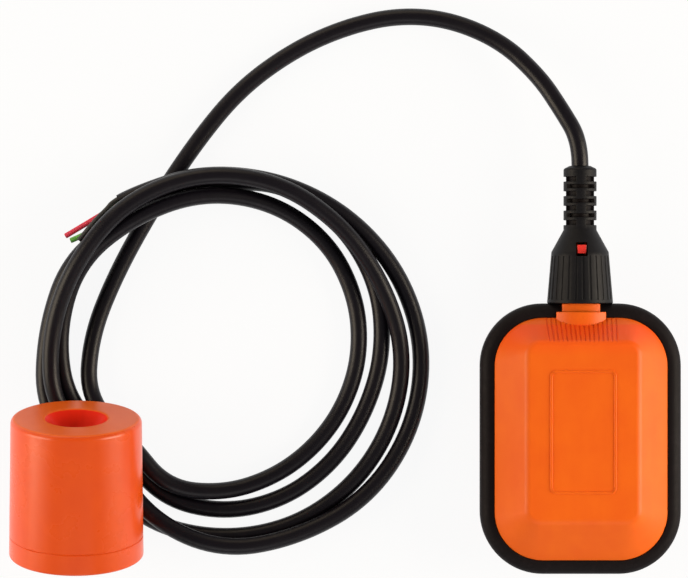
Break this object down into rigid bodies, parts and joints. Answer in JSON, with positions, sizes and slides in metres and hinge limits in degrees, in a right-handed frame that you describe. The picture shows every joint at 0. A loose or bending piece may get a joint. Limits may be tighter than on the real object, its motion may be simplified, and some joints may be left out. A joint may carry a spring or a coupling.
{
  "type": "tethered float switch",
  "caption": "Flat float with an enclosed ball and microswitch, a slotted cable boot, a long coiled cable with cut cores and a loose bored counterweight.",
  "frame": {"origin": "centre of the flat on the float's rear half, the face that it lies on", "axes": "+Z out of the float's front face, +Y along the float towards the cable boot, +X across it to the right"},
  "size_m": [0.2737, 0.2336, 0.0662],
  "materials": {
    "float_orange": "satin moulded polypropylene",
    "weight_orange": "satin moulded polypropylene",
    "band_black": "soft satin",
    "boot_black": "soft satin",
    "jacket_black": "smooth rubber",
    "seal_rubber": "matte",
    "resin": "cast",
    "core_black": "satin",
    "core_red": "satin",
    "core_green": "satin",
    "tab_red": "satin",
    "spring_steel": "bright",
    "frame_plastic": "natural",
    "lever_plastic": "natural",
    "switch_plastic": "matte",
    "plunger_plastic": "satin",
    "screw_steel": "zinc plated",
    "ball_steel": "ground",
    "terminal_brass": "stamped",
    "blade_bronze": "rolled",
    "ballast_iron": "as cast",
    "ring_red": "satin"
  },
  "bodies": {
    "float": {"front_shell": "float_orange", "rear_shell": "float_orange", "seam_band": "band_black", "neck_seal": "seal_rubber", "resin_plug": "resin", "held_cable": "jacket_black", "inner_core_black": "core_black", "inner_core_red": "core_red", "inner_core_green": "core_green", "strain_relief_boot": "boot_black", "tab_spring": "spring_steel", "switch_frame": "frame_plastic", "frame_screws": "screw_steel", "lever_pin": "screw_steel", "switch_pin_low": "screw_steel", "switch_pin_high": "screw_steel", "microswitch_case": "switch_plastic", "microswitch_cover": "switch_plastic", "common_terminal": "terminal_brass", "open_contact_terminal": "terminal_brass", "closed_contact_terminal": "terminal_brass", "cable_lead": "jacket_black", "cable_coil": "jacket_black", "core_black": "core_black", "core_red": "core_red", "core_green": "core_green"},
    "ball": {"steel_ball": "ball_steel"},
    "lever": {"actuator_lever": "lever_plastic"},
    "plunger": {"switch_plunger": "plunger_plastic"},
    "blade": {"contact_blade": "blade_bronze"},
    "tab": {"lock_tab": "tab_red"},
    "counterweight": {"counterweight_shell": "weight_orange", "counterweight_base_cap": "weight_orange", "iron_ballast": "ballast_iron", "cable_grip_ring": "ring_red"}
  },
  "joints": [
    {"name": "ball_roll", "type": "slide", "parent": "float", "child": "ball", "axis": [0, 1, 0], "range_m": [0, 0.016]},
    {"name": "lever_tilt", "type": "hinge", "parent": "float", "child": "lever", "pos_m": [0, 0, 0.0235], "axis": [-1, 0, 0], "range_deg": [0, 8.6]},
    {"name": "plunger_press", "type": "slide", "parent": "float", "child": "plunger", "axis": [0, 0, -1], "range_m": [0, 0.00112]},
    {"name": "blade_swing", "type": "hinge", "parent": "float", "child": "blade", "pos_m": [0, 0.0049, 0.0162], "axis": [-1, 0, 0], "range_deg": [0, 4.02]},
    {"name": "lock_tab_press", "type": "slide", "parent": "float", "child": "tab", "axis": [0, 0, -1], "range_m": [0, 0.0012], "stiffness_N_per_m": 400, "deforming": ["tab_spring"]},
    {"name": "counterweight_lift", "type": "slide", "parent": "float", "child": "counterweight", "axis": [0, 0, 1], "range_m": [0, 0.06]}
  ],
  "couplings": [
    {"joint": "lever_tilt", "follows": "ball_roll", "rad_per_m": 9.38},
    {"joint": "plunger_press", "follows": "ball_roll", "ratio": 0.0699},
    {"joint": "blade_swing", "follows": "ball_roll", "rad_per_m": 4.375}
  ]
}
